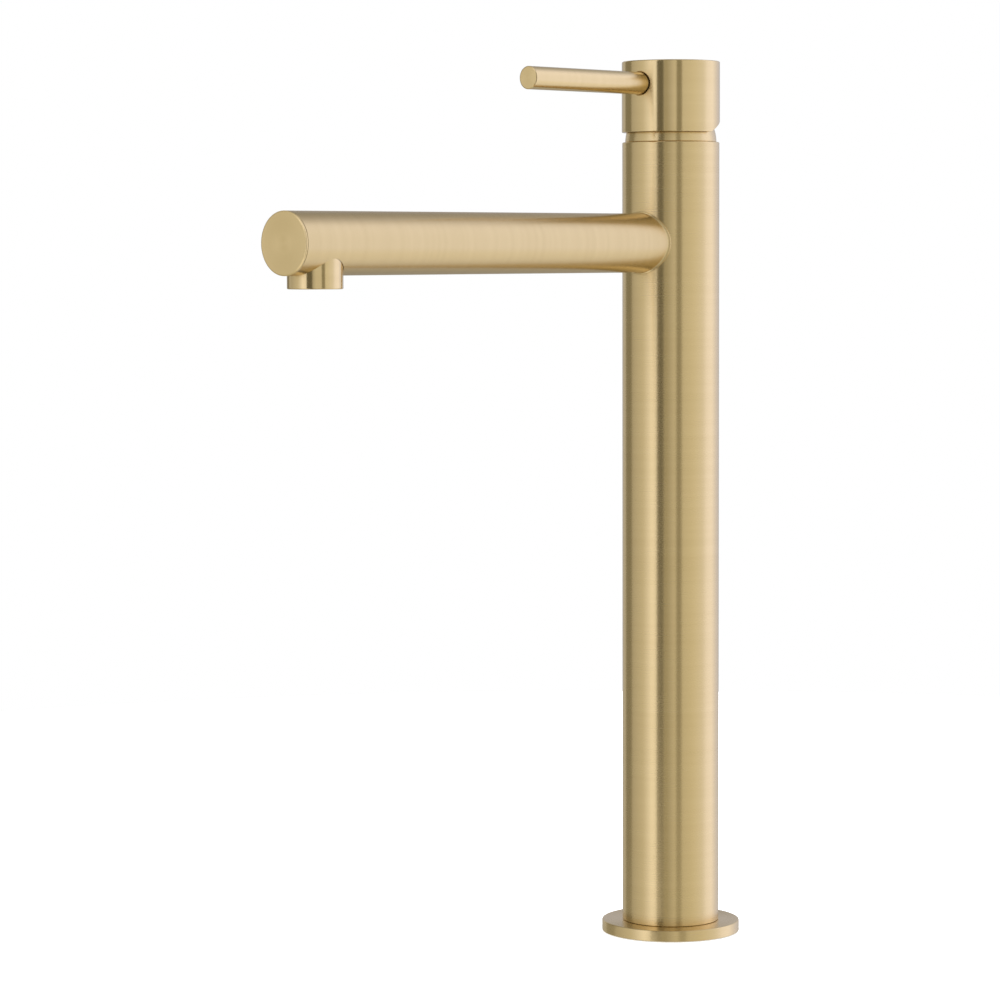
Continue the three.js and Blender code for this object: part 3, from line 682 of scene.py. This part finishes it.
def make_spout():
    outlet = moved(
        cylinder(OUTLET_R + 0.12, -20, -2.5, MEDIUM),
        Matrix.Translation((0, 0, -OUTLET_Y * MM)) @ Matrix.Rotation(-math.pi / 2, 4, "X"),
    )
    screw = moved(
        cylinder(SPOUT_SCREW_R, -20, 0, 32),
        Matrix.Translation((0, 0, SPOUT_SCREW_AT * MM)) @ Matrix.Rotation(-math.pi / 2, 4, "X"),
    )
    mesh = cut_mesh(spout_mesh(), [outlet, screw])
    # The tube gets the darkened copy of the gold: painted shade in its base colour.
    spout = along_spout(new_piece("spout", mesh, PAINTED_SHADE_SPOUT_GOLD), SPOUT_Z)
    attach(smooth(spout), "body")
    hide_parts("spout_tube")

    seam = SPOUT_SEAM + 0.08
    corners = [
        (0, seam - 3, 0),
        (SPOUT_BORE - 0.15, seam - 3, 0.2),
        (SPOUT_BORE - 0.15, seam, 0.05),
        (SPOUT_R - 0.12, seam, 0),
        (SPOUT_R, seam + 0.12, 0),
        (SPOUT_R, SPOUT_REACH - 0.2, 0.06),
        (SPOUT_R - 0.42, SPOUT_REACH, 0.05),
        (0, SPOUT_REACH, 0),
    ]
    mesh = turned_mesh("spout_end", corners, FINE, closed=False)
    # The end disc gets the brightened copy of the gold: painted light in its base colour.
    end = along_spout(new_piece("spout_end", mesh, PAINTED_LIGHT_FACE_GOLD), SPOUT_Z)
    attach(smooth(end), "body")
    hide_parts("spout_end_plug")


def make_outlet():
    bore, lip = 8, 6.4
    lip_bottom = OUTLET_TOP - 1.4
    corners = [
        (bore, OUTLET_BOTTOM, 0.15),
        (OUTLET_R, OUTLET_BOTTOM, 0.35),
        (OUTLET_R, OUTLET_TOP, 0.1),
        (lip, OUTLET_TOP, 0.1),
        (lip, lip_bottom, 0.1),
        (bore, lip_bottom, 0.1),
    ]
    housing = new_piece("outlet", turned_mesh("outlet", corners, FINE), FINE_GOLD)
    housing.location = (0, OUTLET_Y * MM, 0)
    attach(smooth(housing), "body")
    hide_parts("outlet_housing")


def make_aerator():
    """The insert with its coin slots, and the fine grid above it."""
    bottom, top = low("aerator_insert").z, high("aerator_insert").z
    outer = high("aerator_insert").x
    ledge_r, ledge_top, wall_r = 6, bottom + 1.5, 6.8
    corners = [
        (ledge_r, bottom, 0.2),
        (outer, bottom, 0.25),
        (outer, top, 0.1),
        (wall_r, top, 0.1),
        (wall_r, ledge_top, 0.1),
        (ledge_r, ledge_top, 0.1),
    ]
    slots = []
    for i in range(4):
        slot = prisms([[(-10, -0.8), (10, -0.8), (10, 0.8), (-10, 0.8)]], bottom - 1, bottom + 0.9)
        slots.append(moved(slot, Matrix.Rotation(math.pi * i / 4, 4, "Z")))
    mesh = cut_mesh(turned_mesh("insert", corners, MEDIUM), slots)
    plastic = MATERIALS["aerator_plastic"]
    insert = new_piece("aerator", mesh, plastic)
    insert.location = (0, OUTLET_Y * MM, 0)
    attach(smooth(insert), "body")
    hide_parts("aerator_insert")

    bottom, top = low("aerator_grid").z, high("aerator_grid").z
    outer = high("aerator_grid").x
    rim = 1
    pitch = 1.3
    hole = [(math.cos(math.pi * k / 3) * 0.58, math.sin(math.pi * k / 3) * 0.58) for k in range(6)]
    holes = []
    for row in range(-5, 6):
        for column in range(-5, 6):
            x = row * pitch * math.sqrt(0.75)
            y = (column + row % 2 / 2) * pitch
            if math.hypot(x, y) + 0.62 < outer - rim:
                holes.append([(x + dx, y + dy) for dx, dy in hole])
    corners = [(0, bottom, 0), (outer, bottom, 0.15), (outer, top, 0.15), (0, top, 0)]
    plate = turned_mesh("grid", corners, SMALL, closed=False)
    mesh = cut_mesh(plate, [prisms(holes, bottom - 1, top + 1)])
    grid = new_piece("aerator_mesh", mesh, plastic)
    grid.location = (0, OUTLET_Y * MM, 0)
    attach(smooth(grid), "body")
    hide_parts("aerator_grid")


# ---- Studio ----
CAMERA_AZIMUTH = 39.18  # round from -Y towards +X
CAMERA_DISTANCE = 1.2797
CAMERA_HEIGHT = 0.2483
CAMERA_PAN = 2.776
CAMERA_TILT = 4.055
CAMERA_ROLL = -0.17
CAMERA_LENS = 127.0


def add_camera():
    camera = bpy.data.objects.new("camera", bpy.data.cameras.new("camera"))
    bpy.context.scene.collection.objects.link(camera)
    a = math.radians(CAMERA_AZIMUTH)
    place = (CAMERA_DISTANCE * math.sin(a), -CAMERA_DISTANCE * math.cos(a), CAMERA_HEIGHT)
    pan = Matrix.Rotation(math.radians(CAMERA_AZIMUTH + CAMERA_PAN), 4, "Z")
    tilt = Matrix.Rotation(math.radians(90 - CAMERA_TILT), 4, "X")
    roll = Matrix.Rotation(math.radians(CAMERA_ROLL), 4, "Z")
    camera.matrix_world = Matrix.Translation(place) @ pan @ tilt @ roll
    camera.data.lens = CAMERA_LENS
    camera.data.sensor_width = 36
    camera.data.clip_end = 20
    bpy.context.scene.camera = camera


# The studio around the object: (degrees round from -Y towards +X, brightness, tint).
WARM = (1.0, 0.975, 0.84)
PLAIN = (1.0, 1.0, 1.0)
COOL = (1.0, 1.02, 1.16)
PINK = (1.0, 1.035, 1.34)
STUDIO_BANDS = [
    (-140, 0.47, COOL),
    (-112, 0.50, PLAIN),
    (-85, 0.55, PLAIN),
    (-66, 0.49, PLAIN),
    (-50, 0.58, PLAIN),
    (-30, 0.68, PLAIN),
    (-16, 0.90, COOL),
    (-7, 1.11, COOL),
    (2, 1.02, COOL),
    (14, 1.12, COOL),
    (20, 0.50, PLAIN),
    (28, 0.42, WARM),
    (38, 0.54, PLAIN),
    (48, 0.70, PLAIN),
    (72, 0.70, PLAIN),
    (96, 0.77, PLAIN),
    (122, 0.84, COOL),
    (136, 1.04, PINK),
    (155, 1.10, PINK),
    (170, 0.87, PINK),
    (186, 0.71, PINK),
    (198, 0.60, COOL),
    (220, 0.47, COOL),
]
# Dark cards around the object, seen only in reflections: from and to, in degrees, and brightness.
FLAGS = [(-94, -66, 0.26), (6.5, 22.5, 0.15), (52.5, 65, 0.30)]
FLAG_DISTANCE = 0.52
FLAG_HEIGHTS = (-0.11, 0.9)
# Where the large panels end, as the tangent of the angle above their middle.
PANEL_AZIMUTH = 150
PANEL_TURN = 0.45  # how far round the panels go on bending, as a cosine
PANEL_HEIGHTS = [
    (-3, 0.82, PLAIN),
    (-1.2, 0.80, WARM),
    (-0.9, 0.84, WARM),
    (-0.5, 0.92, WARM),
    (-0.2, 1.0, PLAIN),
    (0.95, 1.0, PLAIN),
    (1.28, 0.68, WARM),
    (3, 0.70, PLAIN),
]


def ramp_of(tree, source, stops):
    """A colour ramp holding (place, brightness, tint) stops."""
    first, last = stops[0][0], stops[-1][0]
    ramp = tree.nodes.new("ShaderNodeValToRGB")
    elements = ramp.color_ramp.elements
    elements.remove(elements[-1])
    for i, (stop, value, tint) in enumerate(stops):
        place = (stop - first) / (last - first)
        element = elements[0] if i == 0 else elements.new(place)
        element.position = place
        element.color = (*[value * c for c in tint], 1)
    tree.links.new(ranged(tree, source, first, last), ramp.inputs["Fac"])
    return ramp.outputs["Color"]


def ranged(tree, source, low_value, high_value):
    """Maps a range to 0 to 1."""
    mapped = node(tree, "ShaderNodeMapRange")
    mapped.inputs["From Min"].default_value = low_value
    mapped.inputs["From Max"].default_value = high_value
    tree.links.new(source, mapped.inputs["Value"])
    return mapped.outputs["Result"]


def maths(tree, operation, *values):
    """A maths node on sockets and numbers."""
    made = node(tree, "ShaderNodeMath", operation=operation)
    for socket, value in zip(made.inputs, values):
        if isinstance(value, (int, float)):
            socket.default_value = value
        else:
            tree.links.new(value, socket)
    return made.outputs[0]


def add_world():
    world = bpy.data.worlds.new("studio")
    bpy.context.scene.world = world
    world.use_nodes = True
    tree = world.node_tree
    tree.nodes.clear()
    link = tree.links.new
    coordinates = tree.nodes.new("ShaderNodeTexCoord")
    split = tree.nodes.new("ShaderNodeSeparateXYZ")
    link(coordinates.outputs["Generated"], split.inputs[0])
    x, y, z = split.outputs

    # The ramp starts at -140 degrees, so angles below it are counted on round.
    angle = maths(tree, "ARCTAN2", x, maths(tree, "MULTIPLY", y, -1.0))
    degrees = maths(tree, "MULTIPLY", angle, 180 / math.pi)
    round_about = maths(tree, "WRAP", degrees, STUDIO_BANDS[-1][0], STUDIO_BANDS[0][0])
    bands = ramp_of(tree, round_about, STUDIO_BANDS)

    # A flat panel reaches less high towards its ends.
    a = math.radians(PANEL_AZIMUTH)
    across = maths(tree, "MULTIPLY", x, math.sin(a))
    along = maths(tree, "MULTIPLY", y, -math.cos(a))
    facing = maths(tree, "ABSOLUTE", maths(tree, "ADD", across, along))
    level = maths(tree, "SQRT", maths(tree, "SUBTRACT", 1.0001, maths(tree, "MULTIPLY", z, z)))
    least = maths(tree, "MULTIPLY", level, PANEL_TURN)
    facing = maths(tree, "MAXIMUM", facing, least)
    heights = ramp_of(tree, maths(tree, "DIVIDE", z, facing), PANEL_HEIGHTS)

    total = node(tree, "ShaderNodeVectorMath", operation="MULTIPLY")
    link(bands, total.inputs[0])
    link(heights, total.inputs[1])

    lit = tree.nodes.new("ShaderNodeBackground")
    link(total.outputs[0], lit.inputs["Color"])
    seen = tree.nodes.new("ShaderNodeBackground")
    seen.inputs["Color"].default_value = (1, 1, 1, 1)
    path = tree.nodes.new("ShaderNodeLightPath")
    mix = tree.nodes.new("ShaderNodeMixShader")
    link(path.outputs["Is Camera Ray"], mix.inputs[0])
    link(lit.outputs[0], mix.inputs[1])
    link(seen.outputs[0], mix.inputs[2])
    output = tree.nodes.new("ShaderNodeOutputWorld")
    link(mix.outputs[0], output.inputs["Surface"])


def add_flags():
    for i, (start, end, value) in enumerate(FLAGS):
        foot = []
        for degrees in (start, end):
            a = math.radians(degrees)
            foot.append((math.sin(a) * FLAG_DISTANCE / MM, -math.cos(a) * FLAG_DISTANCE / MM))
        bottom, top = FLAG_HEIGHTS[0] / MM, FLAG_HEIGHTS[1] / MM
        verts = [Vector((*foot[k], z)) for k, z in ((0, bottom), (1, bottom), (1, top), (0, top))]
        flag = bpy.data.objects.new(f"flag_{i}", mesh_from("flag", verts, [(0, 1, 2, 3)]))
        bpy.context.scene.collection.objects.link(flag)
        material, tree, shader = new_material(f"flag_{i}")
        shader.inputs["Base Color"].default_value = (0, 0, 0, 1)
        shader.inputs["Specular IOR Level"].default_value = 0
        shader.inputs["Emission Color"].default_value = (*WARM, 1)
        shader.inputs["Emission Strength"].default_value = value
        flag.data.materials.append(material)
        flag.visible_camera = False
        flag.visible_diffuse = False
        flag.visible_transmission = False
        flag.visible_shadow = False


FLOOR_R, FLOOR_Z = 700, -0.3


def add_floor():
    corners = [(0, FLOOR_Z, 0), (FLOOR_R, FLOOR_Z, 0)]
    floor = bpy.data.objects.new("floor", turned_mesh("floor", corners, MEDIUM, closed=False))
    bpy.context.scene.collection.objects.link(floor)
    material, tree, shader = new_material("floor")
    shader.inputs["Base Color"].default_value = (0.9, 0.9, 0.9, 1)
    shader.inputs["Roughness"].default_value = 0.9
    shader.inputs["Specular IOR Level"].default_value = 0.0
    shader.inputs["Emission Color"].default_value = (1, 1, 1, 1)
    shader.inputs["Emission Strength"].default_value = 0.5
    floor.data.materials.append(material)
    floor.visible_glossy = False


def add_light():
    light = bpy.data.objects.new("overhead", bpy.data.lights.new("overhead", "AREA"))
    bpy.context.scene.collection.objects.link(light)
    light.location = (0, 0, 1.4)
    light.data.shape = "DISK"
    light.data.size = 1.6
    light.data.energy = 24
    light.visible_glossy = False
    light.visible_camera = False


add_camera()
add_world()
add_flags()
add_floor()
add_light()
dress_cad_nodes()
make_flange()
make_seal()
make_foot()
make_column()
make_dome()
make_cap()
make_lever()
make_spout()
make_outlet()
make_aerator()

view = bpy.context.scene.view_settings
view.view_transform = "Standard"
view.look = "None"
